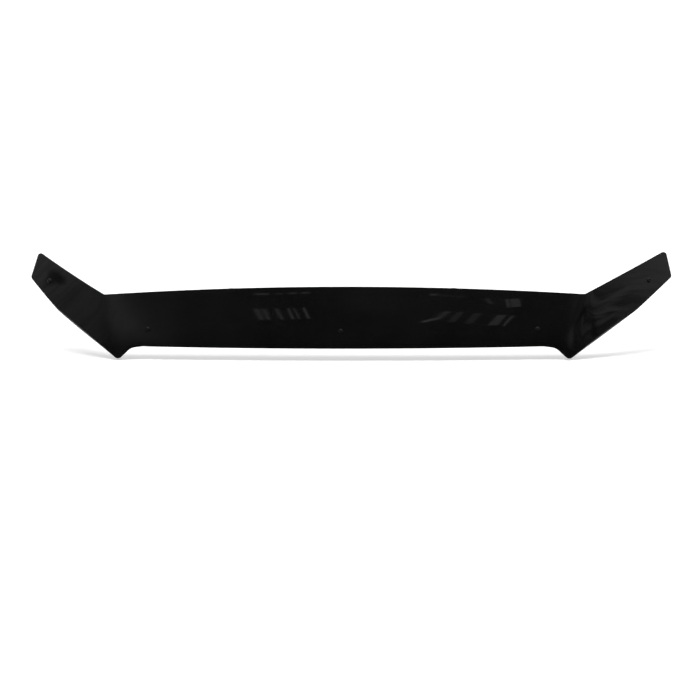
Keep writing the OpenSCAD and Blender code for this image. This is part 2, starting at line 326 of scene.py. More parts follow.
def add_modifier(piece, kind, **settings):
    """Adds a modifier, sets it and applies it."""
    only(piece)
    bpy.ops.object.modifier_add(type=kind)
    modifier = piece.modifiers[-1]
    for name, value in settings.items():
        setattr(modifier, name, value)
    bpy.ops.object.modifier_apply(modifier=modifier.name)


def cut(piece, cutter, operation="DIFFERENCE"):
    """Cuts with another piece, or joins it on, and then removes that other piece."""
    add_modifier(piece, "BOOLEAN", operation=operation, solver="EXACT", object=cutter)
    bpy.data.objects.remove(cutter)


def settle(piece):
    """Turns place, turn and size into the mesh, so that the piece stands at the origin."""
    only(piece)
    bpy.ops.object.transform_apply(location=True, rotation=True, scale=True)


def clean(piece, distance=1e-6):
    """Merges what lies together and turns all faces outwards."""
    only(piece)
    bpy.ops.object.mode_set(mode="EDIT")
    bpy.ops.mesh.select_all(action="SELECT")
    bpy.ops.mesh.remove_doubles(threshold=distance)
    bpy.ops.mesh.normals_make_consistent(inside=False)
    bpy.ops.object.mode_set(mode="OBJECT")


def turned(name, profile, sides, ring=False):
    """Turns (radius, height) pairs in mm about Z, by extruding a circle from one to the next.

    A ring's profile comes back to its start. Any other profile is closed by its end discs.
    """
    (radius, height), *others = profile
    bpy.ops.object.select_all(action="DESELECT")
    bpy.ops.mesh.primitive_circle_add(
        vertices=sides,
        radius=radius * MM,
        fill_type="NOTHING" if ring else "NGON",
        location=(0, 0, height * MM),
    )
    piece = bpy.context.object
    piece.name = piece.data.name = name
    settle(piece)
    extrude = bpy.ops.mesh.extrude_edges_move if ring else bpy.ops.mesh.extrude_region_move
    bpy.ops.object.mode_set(mode="EDIT")
    bpy.ops.mesh.select_all(action="SELECT")
    for r, h in others:
        extrude(TRANSFORM_OT_translate={"value": (0, 0, (h - height) * MM)})
        grow = r / radius
        bpy.ops.transform.resize(value=(grow, grow, 1), center_override=(0, 0, h * MM))
        radius, height = r, h
    bpy.ops.object.mode_set(mode="OBJECT")
    clean(piece)
    return piece


def on_face(p, flat=True):
    """The matrix that stands a piece drawn along +Z on the face at p, pointing to the back."""
    x, z = np.float64(p[0]), np.float64(p[1])
    n = to_the_back(x, z)
    place = Matrix.Translation((face_point(p) - hood_seat) * MM)
    turn = Matrix.Rotation(math.atan2(-n[0], n[1]), 4, "Z") @ Matrix.Rotation(math.asin(n[2]), 4, "X")
    return place @ turn @ Matrix.Rotation(-math.pi / 2, 4, "X")


def own_copy(piece, name, matrix):
    """A copy with its own mesh, put in place."""
    copy = piece.copy()
    copy.data = piece.data.copy()
    copy.name = copy.data.name = name
    bpy.context.collection.objects.link(copy)
    copy.matrix_world = matrix
    settle(copy)
    return copy


print("helpers ready")

# %% [markdown]
# ## Places of the screws
#
# Three screws hold the band: one in the middle and one near each drop. One more holds each wing,
# near its end and a little below its middle line. All stand square to the sheet.

# %% Places of the fixings
SIDE_FIX_IN, SIDE_FIX_H, WING_FIX_IN, WING_FIX_DOWN = 109.0, 2.0, 54.5, 5.5

wing_root, wing_end = (top_notch + low_tip) / 2, (top_tip + low_end) / 2
wing_way = unit(wing_root - wing_end)
wing_fix = wing_end + wing_way * WING_FIX_IN + np.array([-wing_way[1], wing_way[0]]) * WING_FIX_DOWN
side_fix = np.array([notch_x - SIDE_FIX_IN, SIDE_FIX_H])
mirrored = np.array([-1, 1])
fixings = {
    "centre": np.zeros(2),
    "left": side_fix * mirrored,
    "right": side_fix,
    "wing_left": wing_fix * mirrored,
    "wing_right": wing_fix,
}
for place_name, p in fixings.items():
    print("screw", place_name, "at", p.round(2), "mm")

# %% [markdown]
# ## The sheet
#
# The sheet could be modelled by hand from a subdivided plane, but no chain of extrusions gives a
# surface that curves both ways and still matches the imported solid. So a grid is added with an
# operator, its points are laid on the sections above, and the rest is done with modifiers, as a
# shop would do it: Solidify makes the 3 mm thickness, Boolean drills the holes, and Bevel breaks
# the cut edges. Solidify gives the cut edge a material slot of its own.

# %% Lay the grid on the sections
bpy.ops.mesh.primitive_grid_add(x_subdivisions=columns - 1, y_subdivisions=rows - 1, size=1)
sheet = bpy.context.object
sheet.name = sheet.data.name = "deflector_sheet"
flat = np.zeros(len(sheet.data.vertices) * 3)
sheet.data.vertices.foreach_get("co", flat)
flat = flat.reshape(-1, 3)
column = np.rint((flat[:, 0] + 0.5) * (columns - 1)).astype(int)
row = np.rint((flat[:, 1] + 0.5) * (rows - 1)).astype(int)
sheet.data.vertices.foreach_set("co", skin[column, row].ravel())
sheet.data.update()
facing = sheet.data.polygons[len(sheet.data.polygons) // 2].normal.y
if facing > 0:
    sheet.data.flip_normals()
print("grid of", len(flat), "points, facing", "back, flipped" if facing > 0 else "front")

# %% Thickness, holes and broken edges
HOLE_R = 3.5
SLOT_FACE, SLOT_CUT = 0, 1

for _ in range(2):
    sheet.data.materials.append(None)
add_modifier(
    sheet,
    "SOLIDIFY",
    thickness=SHEET_T * MM,
    offset=-1.0,
    use_even_offset=True,
    use_quality_normals=True,
    material_offset_rim=SLOT_CUT,
)
drills = None
for place_name, p in fixings.items():
    drill = turned("drill_" + place_name, [(HOLE_R, -8), (HOLE_R, 9)], 64)
    drill.matrix_world = on_face(p)
    settle(drill)
    if drills is None:
        drills = drill
    else:
        only(drills)
        drill.select_set(True)
        bpy.ops.object.join()
cut(sheet, drills)
add_modifier(
    sheet,
    "BEVEL",
    width=0.45 * MM,
    segments=3,
    limit_method="ANGLE",
    angle_limit=math.radians(50),
    use_clamp_overlap=False,
    material=SLOT_CUT,
)
only(sheet)
bpy.ops.object.shade_smooth_by_angle(angle=math.radians(35))
add_modifier(sheet, "WEIGHTED_NORMAL", keep_sharp=True, weight=50)
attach(sheet, "root")
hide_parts("shield")
print("sheet:", len(sheet.data.vertices), "points,", len(sheet.data.polygons), "faces")

# %% [markdown]
# ## The screws
#
# Each screw has a low domed head with a cross recess, a plain neck through the sheet and the
# spacer, and a real thread behind it. The head is turned like on a lathe, from a circle that is
# extruded from ring to ring. The recess is a cross-shaped punch with tapering arms. The thread is
# one tooth of its profile that the Screw modifier winds into a helix.

# %% Head and neck
SHANK_R, NECK_R, SHANK_FREE = 2.5, 2.3, 18.0
HEAD_R, HEAD_H, HEAD_RIM, CHAMFER = 6.25, 3.4, 0.8, 0.6
PITCH, ROOT_R = 0.8, 2.02

head_top = -SEAT_GAP - HEAD_H
dome_h = HEAD_H - HEAD_RIM
dome_r = (HEAD_R**2 + dome_h**2) / (2 * dome_h)
dome_angle = math.asin(HEAD_R / dome_r)
dome = [
    (dome_r * math.sin(dome_angle * k / 12), head_top + dome_r * (1 - math.cos(dome_angle * k / 12)))
    for k in range(1, 12)
]
rim = [(6.12, -1.17), (6.22, -1.05), (6.25, -0.9), (6.25, -0.52), (6.18, -0.36), (6.05, -0.3)]
neck = [(2.75, -0.3), (2.42, -0.18), (NECK_R, 0.1), (NECK_R, spacer_back + 0.1)]
screw = turned("screw_master", [(0.3, head_top)] + dome + rim + neck, 64)
print("head", 2 * HEAD_R, "mm wide, dome radius", round(dome_r, 2), "mm")

# %% Cross recess
RECESS_L, RECESS_W, RECESS_D = 5.6, 1.2, 1.7

punch_top, punch_end = head_top - 0.7, head_top + RECESS_D
spread = 1.24
bpy.ops.object.select_all(action="DESELECT")
bpy.ops.mesh.primitive_cube_add(size=1, location=(0, 0, (punch_top + punch_end) / 2 * MM))
punch = bpy.context.object
punch.scale = (RECESS_W * spread * MM, RECESS_W * spread * MM, (punch_end - punch_top) * MM)
settle(punch)
bpy.ops.object.mode_set(mode="EDIT")
arm = (RECESS_L - RECESS_W) / 2 * spread * MM
for way in ((1, 0, 0), (-1, 0, 0), (0, 1, 0), (0, -1, 0)):
    ahead = Vector(way)
    pick_faces(punch, lambda c, n: n.dot(ahead) > 0.9 and c.dot(ahead) > 0)
    bpy.ops.mesh.extrude_region_move(TRANSFORM_OT_translate={"value": ahead * arm})
pick_faces(punch, lambda c, n: n.z > 0.9)
bpy.ops.transform.resize(value=(0.42, 0.42, 1), center_override=(0, 0, punch_end * MM))
bpy.ops.object.mode_set(mode="OBJECT")
clean(punch)
cut(screw, punch)
print("recess", RECESS_L, "mm across and", RECESS_D, "mm deep")

# %% Thread
shank_end = spacer_back + SHANK_FREE
tooth = [(ROOT_R, 0.0), (SHANK_R, 0.28), (SHANK_R, 0.38), (ROOT_R, 0.66), (ROOT_R, PITCH)]
turns = math.ceil(SHANK_FREE / PITCH) + 3
bpy.ops.object.select_all(action="DESELECT")
bpy.ops.mesh.primitive_plane_add(size=0.001, location=(0, 0, 0))
thread = bpy.context.object
bpy.ops.object.mode_set(mode="EDIT")
bpy.ops.mesh.select_mode(type="VERT")
bpy.ops.mesh.select_all(action="SELECT")
bpy.ops.mesh.merge(type="CENTER")
bpy.ops.mesh.select_all(action="SELECT")
first = (ROOT_R * MM, 0, (spacer_back - 1.41) * MM)
bpy.ops.transform.translate(value=first)
for (ra, ha), (rb, hb) in zip(tooth, tooth[1:]):
    step = ((rb - ra) * MM, 0, (hb - ha) * MM)
    bpy.ops.mesh.extrude_vertices_move(TRANSFORM_OT_translate={"value": step})
bpy.ops.object.mode_set(mode="OBJECT")
add_modifier(
    thread,
    "SCREW",
    screw_offset=PITCH * MM,
    iterations=turns,
    steps=40,
    render_steps=40,
    use_merge_vertices=True,
    merge_threshold=1e-6,
)
clean(thread)


def slice_thread(height, **settings):
    """Cuts the thread level at a height in mm."""
    bpy.ops.mesh.select_all(action="SELECT")
    bpy.ops.mesh.bisect(
        plane_co=(0, 0, height * MM), plane_no=(0, 0, 1), threshold=1e-7, **settings
    )


def widest(height):
    """Radius that the thread may reach at a height: it grows out of the neck and tapers to its end."""
    grown = ROOT_R + max(0.0, height - spacer_back + 0.2) * 1.2
    return min(grown, SHANK_R, SHANK_R - (height - shank_end + CHAMFER))


bpy.ops.object.mode_set(mode="EDIT")
for height, side in ((spacer_back - 0.3, "clear_inner"), (shank_end, "clear_outer")):
    slice_thread(height, **{side: True})
    level = height * MM
    pick_edges(thread, lambda a, b: max(abs(a.z - level), abs(b.z - level)) < 1e-7)
    bpy.ops.mesh.edge_face_add()
for height in (spacer_back + 0.2, shank_end - CHAMFER):
    slice_thread(height)
bpy.ops.object.mode_set(mode="OBJECT")
for vertex in thread.data.vertices:
    shrink = min(1.0, widest(vertex.co.z / MM) * MM / math.hypot(vertex.co.x, vertex.co.y))
    vertex.co.x *= shrink
    vertex.co.y *= shrink
clean(thread)
cut(screw, thread, "UNION")
clean(screw, 3e-7)
bpy.ops.object.shade_smooth_by_angle(angle=math.radians(40))
print("thread of", turns, "turns; screw", len(screw.data.polygons), "faces")

# %% [markdown]
# ### Where a screw wears
#
# A driver rubs the blacking off the edges of the recess and off the rim. A point attribute says
# how near each point of the mesh is to such an edge, and the finish reads it later.

# %% Mark the worn edges, then set the five screws
worn = screw.data.attributes.new("worn", "FLOAT", "POINT")
for vertex, value in zip(screw.data.vertices, worn.data):
    radius = math.hypot(vertex.co.x, vertex.co.y) / MM
    height = vertex.co.z / MM
    on_dome = dome_r - math.hypot(radius, head_top + dome_r - height)
    at_recess = abs(on_dome) < 0.08 and radius < RECESS_L / 2 + 0.1
    at_rim = abs(height + 1.1) < 0.12 and radius > HEAD_R - 0.2
    value.value = 0.6 if at_recess else 0.1 if at_rim else 0.0
screws = {}
for place_name, p in fixings.items():
    piece = own_copy(screw, "domed_screw_" + place_name, on_face(p))
    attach(piece, "root")
    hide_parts("screw_" + place_name)
    screws[place_name] = piece
bpy.data.objects.remove(screw)
print("screws:", sorted(screws))

# %% [markdown]
# ## The spacers
#
# A rubber spacer keeps the sheet off the hood and takes up rattle. It is moulded: two flanges, a
# waist, rounded edges, and the thin line where the two halves of its mould met. Its profile is
# turned as a ring round the bore.

# %% Spacers
BORE_R, FLANGE_R, WAIST_R, FLANGE_T = 2.7, 8.5, 6.5, 2.4

half_profile = [
    (BORE_R, 0.35), (BORE_R + 0.35, 0.0), (FLANGE_R - 0.6, 0.0), (FLANGE_R - 0.3, 0.08),
    (FLANGE_R - 0.08, 0.3), (FLANGE_R, 0.6), (FLANGE_R, FLANGE_T - 0.45),
    (FLANGE_R - 0.1, FLANGE_T - 0.15), (FLANGE_R - 0.4, FLANGE_T + 0.1), (WAIST_R + 0.45, 3.05),
    (WAIST_R + 0.12, 3.3), (WAIST_R, 3.7), (WAIST_R, SPACER_L / 2 - 0.16),
    (WAIST_R + 0.12, SPACER_L / 2 - 0.07),
]
other_half = [(r, SPACER_L - h) for r, h in reversed(half_profile)]
profile = [(r, spacer_front + h) for r, h in half_profile + other_half + half_profile[:1]]
spacer = turned("spacer_master", profile, 64, ring=True)
bpy.ops.object.shade_smooth_by_angle(angle=math.radians(50))
for place_name, p in fixings.items():
    piece = own_copy(spacer, "rubber_spacer_" + place_name, on_face(p))
    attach(piece, "root")
    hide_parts("spacer_" + place_name)
bpy.data.objects.remove(spacer)
print("spacer", 2 * FLANGE_R, "mm over the flanges,", SPACER_L, "mm long")

# %% [markdown]
# ## The rest pads
#
# Two small rubber pads sit behind the upper edge and show as tiny bumps on it. Each starts as a
# block: its four upright edges are rounded widely, its rims a little, and shallow grooves across
# the back give the grip that such pads have.

# %% Rest pads
PAD_SPAN, PAD_W, PAD_L, PAD_T, PAD_PROUD, PAD_R = 528.0, 14.0, 24.0, 9.0, 1.5, 3.0

pad_front, pad_back = spacer_front, spacer_front + PAD_T
bpy.ops.object.select_all(action="DESELECT")
bpy.ops.mesh.primitive_cube_add(size=1, location=(0, 0, (pad_front + pad_back) / 2 * MM))
pad = bpy.context.object
pad.name = pad.data.name = "pad_master"
pad.scale = (PAD_W * MM, PAD_L * MM, PAD_T * MM)
settle(pad)
bpy.ops.object.mode_set(mode="EDIT")
pick_edges(pad, lambda a, b: abs(a.z - b.z) > 0.5 * PAD_T * MM)
bpy.ops.mesh.bevel(offset=PAD_R * MM, segments=8, affect="EDGES")
for middle_y in (-6.0, 0.0, 6.0):
    for side in (-0.8, 0.8):
        bpy.ops.mesh.select_all(action="SELECT")
        bpy.ops.mesh.bisect(plane_co=(0, (middle_y + side) * MM, 0), plane_no=(0, 1, 0))
for middle_y in (-6.0, 0.0, 6.0):
    pick_faces(pad, lambda c, n: n.z > 0.9 and abs(c.y / MM - middle_y) < 0.8)
    bpy.ops.mesh.extrude_region_move(TRANSFORM_OT_translate={"value": (0, 0, -0.9 * MM)})
bpy.ops.object.mode_set(mode="OBJECT")
clean(pad)
add_modifier(
    pad, "BEVEL", width=0.35 * MM, segments=3, limit_method="ANGLE", angle_limit=math.radians(50)
)
bpy.ops.object.shade_smooth_by_angle(angle=math.radians(40))
pad_top = crest(PAD_SPAN / 2)
pad_middle = np.array([pad_top[0], pad_top[1] + PAD_PROUD - PAD_L / 2 * math.cos(LEAN)])
for name, way in (("left", mirrored), ("right", np.ones(2))):
    piece = own_copy(pad, "rest_pad_" + name, on_face(pad_middle * way))
    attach(piece, "root")
    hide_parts("bumper_" + name)
bpy.data.objects.remove(pad)
print("rest pads at", pad_middle.round(1), "mm")

# %% [markdown]
# ## Finishes made from nodes
#
# A few short helpers keep the node trees readable. All patterns read Object coordinates, which
# are metres on the object itself, so a pattern keeps its real scale and never slides.

# %% Node helpers


def finish_of(name, **values):
    """A new material with a Principled shader, its plain values set on the shader."""
    material = bpy.data.materials.new(name)
    material.use_nodes = True
    tree = material.node_tree
    shader = tree.nodes["Principled BSDF"]
    for socket, value in values.items():
        shader.inputs[socket.replace("_", " ")].default_value = value
    return material, tree, shader


def node(tree, kind, inputs=(), **settings):
    """Adds a node. Each input is a socket to link from or a value to set."""
    made = tree.nodes.new(kind)
    for name, value in settings.items():
        setattr(made, name, value)
    for key, value in dict(inputs).items():
        if isinstance(value, bpy.types.NodeSocket):
            tree.links.new(value, made.inputs[key])
        else:
            made.inputs[key].default_value = value
    return made


def noise(tree, scale, detail=2.0, roughness=0.5, vector=None, distortion=0.0):
    vector = vector or node(tree, "ShaderNodeTexCoord").outputs["Object"]
    values = {"Vector": vector, "Scale": scale, "Detail": detail, "Roughness": roughness,
              "Distortion": distortion}
    return node(tree, "ShaderNodeTexNoise", values).outputs["Fac"]


def stretch(tree, value, low, high, to_low, to_high):
    """Maps a range of values to another one, and stops at its ends."""
    values = {"Value": value, "From Min": low, "From Max": high, "To Min": to_low, "To Max": to_high}
    return node(tree, "ShaderNodeMapRange", values).outputs["Result"]


def maths(tree, operation, a, b=0.0, clamp=False):
    made = node(tree, "ShaderNodeMath", {0: a, 1: b}, operation=operation, use_clamp=clamp)
    return made.outputs[0]


def blend_colours(tree, factor, a, b):
    made = node(tree, "ShaderNodeMix", data_type="RGBA")
    for key, value in ((0, factor), (6, a), (7, b)):
        if isinstance(value, bpy.types.NodeSocket):
            tree.links.new(value, made.inputs[key])
        else:
            made.inputs[key].default_value = value
    return made.outputs[2]


def bump(tree, height, distance, strength=1.0, normal=None):
    values = {"Height": height, "Distance": distance, "Strength": strength}
    if normal is not None:
        values["Normal"] = normal
    return node(tree, "ShaderNodeBump", values).outputs["Normal"]


def grey(value, blue=1.0):
    return (value, value, value * blue, 1.0)


print("node helpers ready")

# %% [markdown]
# ### Black acrylic
#
# Smoke-black acrylic is almost black all through, and nearly all that is seen is what its polished
# face mirrors: about four parts in a hundred. So the colour is very dark, the gloss is high, and
# the finish lives in small things: a fine ripple from forming, faint hairlines from wiping, a
# haze that is stronger in some places, and a few specks of dust.

# %% Acrylic, polished face
acrylic, tree, shader = finish_of("acrylic_polished", IOR=1.49)
cloud = noise(tree, 9.0, 3.0, 0.55)
colour = blend_colours(tree, stretch(tree, cloud, 0.35, 0.65, 0, 1), grey(0.0022), grey(0.0034, 1.06))
dust = stretch(tree, noise(tree, 900.0, 2.0, 0.6), 0.74, 0.80, 0.0, 0.55)
patchy = stretch(tree, noise(tree, 6.0, 2.0, 0.5), 0.45, 0.7, 0.0, 1.0)
dust = maths(tree, "MULTIPLY", dust, patchy)
colour = blend_colours(tree, dust, colour, grey(0.05, 0.96))
tree.links.new(colour, shader.inputs["Base Color"])
wiped = node(tree, "ShaderNodeMapping", {"Vector": node(tree, "ShaderNodeTexCoord").outputs["Object"],
                                         "Scale": (14.0, 1.0, 900.0), "Rotation": (0, 0.12, 0)})
hairline = stretch(tree, noise(tree, 1.0, 1.0, 0.5, wiped.outputs["Vector"]), 0.70, 0.78, 0, 1)
haze = stretch(tree, noise(tree, 14.0, 4.0, 0.6), 0.35, 0.75, 0.016, 0.048)
rough = maths(tree, "ADD", haze, maths(tree, "MULTIPLY", hairline, 0.05))
rough = maths(tree, "ADD", rough, maths(tree, "MULTIPLY", dust, 0.5), clamp=True)
tree.links.new(rough, shader.inputs["Roughness"])
slow_wave = bump(tree, noise(tree, 22.0, 1.0, 0.3), 0.00003, 1.0)
fine_wave = bump(tree, noise(tree, 240.0, 2.0, 0.5), 0.0000012, 1.0, slow_wave)
tree.links.new(fine_wave, shader.inputs["Normal"])
print("polished acrylic:", len(tree.nodes), "nodes")

# %% Acrylic, cut edge
cut_edge, tree, shader = finish_of("acrylic_cut_edge", IOR=1.49)
streak = node(tree, "ShaderNodeMapping", {"Vector": node(tree, "ShaderNodeTexCoord").outputs["Object"],
                                          "Scale": (700.0, 700.0, 120.0)})
saw = noise(tree, 1.0, 2.0, 0.6, streak.outputs["Vector"])
tree.links.new(blend_colours(tree, saw, grey(0.006), grey(0.014, 1.05)), shader.inputs["Base Color"])
tree.links.new(stretch(tree, saw, 0.3, 0.7, 0.16, 0.34), shader.inputs["Roughness"])
tree.links.new(bump(tree, saw, 0.00002, 0.6), shader.inputs["Normal"])
sheet.data.materials[SLOT_FACE] = acrylic
sheet.data.materials[SLOT_CUT] = cut_edge
print("cut edge:", sum(p.material_index == SLOT_CUT for p in sheet.data.polygons), "faces")

# %% [markdown]
# ### Blackened screws
#
# The screws are steel with a black coat: satin, slightly uneven, and rubbed through to grey metal
# on the edges that a driver or a thumb touches. The attribute made above says where, and a noise
# breaks the line up so that the wear isn't drawn like a stripe.

# %% Black screw finish
black_coat, tree, shader = finish_of("screw_black_coat", IOR=1.28)
edge_wear = node(tree, "ShaderNodeAttribute", attribute_name="worn").outputs["Fac"]
broken = stretch(tree, noise(tree, 1800.0, 4.0, 0.7), 0.42, 0.62, 0.0, 1.0)
bare = maths(tree, "MULTIPLY", edge_wear, broken, clamp=True)
mottle = noise(tree, 600.0, 3.0, 0.6)
coat_colour = blend_colours(tree, mottle, grey(0.0025), grey(0.006, 0.98))
tree.links.new(blend_colours(tree, bare, coat_colour, grey(0.06, 0.97)), shader.inputs["Base Color"])
tree.links.new(maths(tree, "MULTIPLY", bare, 0.8), shader.inputs["Metallic"])
tree.links.new(stretch(tree, mottle, 0.3, 0.7, 0.30, 0.44), shader.inputs["Roughness"])
tree.links.new(bump(tree, noise(tree, 3000.0, 2.0, 0.5), 0.000006, 0.8), shader.inputs["Normal"])
for piece in screws.values():
    piece.data.materials.clear()
    piece.data.materials.append(black_coat)
print("screws finished:", len(screws))

# %% [markdown]
# ### Moulded rubber
#
# Spacers and pads are black rubber: matt, finely grained, and greyer where dust and bloom sit.

# %% Rubber finish
rubber, tree, shader = finish_of("rubber_moulded", IOR=1.5)
bloom = stretch(tree, noise(tree, 120.0, 4.0, 0.65), 0.4, 0.7, 0.0, 1.0)
tree.links.new(blend_colours(tree, bloom, grey(0.018), grey(0.040, 0.97)), shader.inputs["Base Color"])
grain = noise(tree, 2600.0, 3.0, 0.6)
tree.links.new(stretch(tree, bloom, 0.0, 1.0, 0.62, 0.86), shader.inputs["Roughness"])
tree.links.new(bump(tree, grain, 0.00003, 0.7), shader.inputs["Normal"])
for piece in bpy.data.objects:
    if piece.name.startswith(("rubber_spacer", "rest_pad")):
        piece.data.materials.clear()
        piece.data.materials.append(rubber)
print("rubber:", len(tree.nodes), "nodes")

# %% [markdown]
# ## The floor
#
# The photograph is cut out on white. The floor is a pale sheet a little below the rounded tips of the two drops,
# at the depth of their unrounded corners. Seen by the camera, and in mirrors and glass, it is topped up to white,
# but only by the little that its own lit colour lacks, so the object's soft shadow stays on it. Its underside is
# clear, so that a view from below still shows the object.

# %% Floor
FLOOR_SIZE = 120.0

floor_z = (-DROP_DEPTH - hood_seat[2]) * MM
bpy.ops.object.select_all(action="DESELECT")
floor_z = min(floor_z, min(v.co.z for v in sheet.data.vertices)) - 0.0002
bpy.ops.mesh.primitive_plane_add(size=FLOOR_SIZE, location=(0, 0, floor_z))
floor = bpy.context.object
floor.name = "studio_floor"
paper = bpy.data.materials.new("floor_paper")
paper.use_nodes = True
tree = paper.node_tree
tree.nodes.clear()
light_path = node(tree, "ShaderNodeLightPath").outputs
seen = maths(tree, "MAXIMUM", light_path["Is Camera Ray"],
             maths(tree, "MAXIMUM", light_path["Is Glossy Ray"], light_path["Is Transmission Ray"]))
diffuse = node(tree, "ShaderNodeBsdfDiffuse", {"Color": grey(0.80)}).outputs[0]
top_up = node(tree, "ShaderNodeEmission", {"Color": grey(1.0), "Strength": maths(tree, "MULTIPLY", seen, 0.36)})
lit = node(tree, "ShaderNodeAddShader", {0: diffuse, 1: top_up.outputs[0]}).outputs[0]
clear = node(tree, "ShaderNodeBsdfTransparent").outputs[0]
below = node(tree, "ShaderNodeNewGeometry").outputs["Backfacing"]
either = node(tree, "ShaderNodeMixShader", {0: below, 1: lit, 2: clear}).outputs[0]
node(tree, "ShaderNodeOutputMaterial", {"Surface": either})
floor.data.materials.append(paper)
print("floor at", round(floor_z, 4), "m")

# %% [markdown]
# ## Light
#
# Black gloss is lit by what it mirrors. A broad soft light from high in front gives the plain
# level, high enough that the face can't mirror it into the camera. The room itself is a gradient:
# dark straight ahead, pale walls far to the left and right with soft folds, like cloth, which the
# wings and the left end of the band pick up, and the white paper behind. The lamp itself isn't
# mirrored, as if it shone through a cloth, so the screws keep only the ceiling's soft gleam.

# %% Room and lamp
world = bpy.data.worlds.new("studio_room")
bpy.context.scene.world = world
world.use_nodes = True
tree = world.node_tree
tree.nodes.clear()
way = node(tree, "ShaderNodeTexCoord").outputs["Generated"]
parts = node(tree, "ShaderNodeSeparateXYZ", {0: way}).outputs
turn = maths(tree, "MULTIPLY", maths(tree, "ARCTAN2", parts["X"], maths(tree, "MULTIPLY", parts["Y"], -1.0)), 180 / math.pi)
rise = maths(tree, "MULTIPLY", maths(tree, "ARCSINE", parts["Z"]), 180 / math.pi)


def graded(tree, value, low, high, stops):
    """A level that follows a value through (value, level) pairs."""
    share = stretch(tree, value, low, high, 0.0, 1.0)
    ramp = node(tree, "ShaderNodeValToRGB", {0: share})
    ramp.color_ramp.interpolation = "B_SPLINE"
    elements = ramp.color_ramp.elements
    while len(elements) < len(stops):
        elements.new(0.5)
    for element, (at, level) in zip(elements, stops):
        element.position = (at - low) / (high - low)
        element.color = grey(level)
    return ramp.outputs["Color"]


slanted = maths(tree, "ADD", turn, maths(tree, "MULTIPLY", maths(tree, "SUBTRACT", rise, 20.0), 0.24))
walls = graded(tree, slanted, -180, 180, [
    (-180, 0.6), (-120, 0.42), (-88, 0.46), (-78, 0.40), (-62, 0.22), (-40, 0.18), (-28, 0.28),
    (-22.5, 0.32), (-20.6, 0.12), (-18.6, 0.06), (-14, 0.036), (6, 0.036), (10, 0.09), (24, 0.23),
    (48, 0.32), (62, 0.38), (72, 0.43), (120, 0.6), (180, 0.8)])
ceiling = graded(tree, rise, -90, 90, [
    (-90, 0.3), (-5, 0.0), (12, 0.004), (36, 0.02), (48, 0.08), (62, 0.25), (90, 0.7)])
wall_share = graded(tree, rise, -90, 90, [(-90, 1.0), (0, 0.0), (8, 0.02), (13, 0.7), (18, 1.0), (90, 1.0)])
leaning = maths(tree, "MULTIPLY", rise, 0.65)
spot = node(tree, "ShaderNodeCombineXYZ", {
    "X": maths(tree, "MULTIPLY", maths(tree, "SUBTRACT", turn, leaning), 0.25),
    "Y": maths(tree, "MULTIPLY", maths(tree, "ADD", turn, leaning), 0.03)}).outputs[0]
folds = stretch(tree, noise(tree, 1.0, 2.0, 0.5, spot, 1.5), 0.38, 0.60, -1.0, 0.4)
fold_share = graded(tree, turn, -180, 180, [
    (-180, 0.0), (-90, 0.15), (-60, 0.3), (-30, 0.2), (-18, 0.05), (5, 0.05), (12, 0.75),
    (40, 0.75), (52, 0.15), (75, 0.05), (180, 0.0)])
walls = maths(tree, "MULTIPLY", walls, maths(tree, "ADD", 1.0, maths(tree, "MULTIPLY", folds, fold_share)))
room = maths(tree, "ADD", maths(tree, "MULTIPLY", walls, wall_share), ceiling)
light_path = node(tree, "ShaderNodeLightPath").outputs
behind = stretch(tree, parts["Y"], 0.3, 0.6, 0.0, 1.0)
mirrored_paper = maths(tree, "MULTIPLY", behind,
                       maths(tree, "MAXIMUM", light_path["Is Glossy Ray"], light_path["Is Transmission Ray"]))
white = maths(tree, "MAXIMUM", light_path["Is Camera Ray"], mirrored_paper)
level = node(tree, "ShaderNodeMix", {0: white, 2: room, 3: 1.0}).outputs[0]
background = node(tree, "ShaderNodeBackground", {"Color": grey(1.0), "Strength": level})
node(tree, "ShaderNodeOutputWorld", {"Surface": background.outputs[0]})

bpy.ops.object.light_add(type="SUN", rotation=(math.radians(26), math.radians(-8), 0))
lamp = bpy.context.object
lamp.name = "soft_light"
lamp.data.energy = 2.5
lamp.data.angle = math.radians(34)
lamp.visible_glossy = False
print("room and lamp ready")

# %% [markdown]
# ### What the face mirrors
#
# In the photograph the gloss mirrors strip lights and a lit opening, broken into leaning bars.
# Each is a small card eight metres in front of the sheet. A black flag lies on the floor before
# the sheet and keeps the rolled lower edge dark, as photographers do with black glossy things.
# Cards and flag act in mirrored light only, so they neither light the object nor shade it.

# %% Cards and flag
CARD_Y, SOFT_AWAY = -8.0, 8.61


def mirrored_card(name, size, place, turn, level, soft=False):
    """A flat card that only mirrored rays meet, with its own level; a soft one fades outwards."""
    bpy.ops.object.select_all(action="DESELECT")
    bpy.ops.mesh.primitive_plane_add(size=1, location=place, rotation=turn)
    card = bpy.context.object
    card.name = card.data.name = name
    card.scale = (*size, 1)
    settle(card)
    card.visible_camera = card.visible_diffuse = card.visible_shadow = False
    card.visible_transmission = card.visible_volume_scatter = False
    glow = bpy.data.materials.new(name + "_glow")
    glow.use_nodes = True
    glow.node_tree.nodes.clear()
    light = node(glow.node_tree, "ShaderNodeEmission", {"Color": grey(1.0), "Strength": level}).outputs[0]
    if soft:
        uv = node(glow.node_tree, "ShaderNodeTexCoord").outputs["UV"]
        centre = (0.5, 0.5, 0.0)
        away = node(glow.node_tree, "ShaderNodeVectorMath", {0: uv, 1: centre}, operation="DISTANCE")
        shown = stretch(glow.node_tree, away.outputs["Value"], 0.18, 0.5, 1.0, 0.0)
        gap = node(glow.node_tree, "ShaderNodeBsdfTransparent").outputs[0]
        light = node(glow.node_tree, "ShaderNodeMixShader", {0: shown, 1: gap, 2: light}).outputs[0]
    node(glow.node_tree, "ShaderNodeOutputMaterial", {"Surface": light})
    card.data.materials.append(glow)
    return card


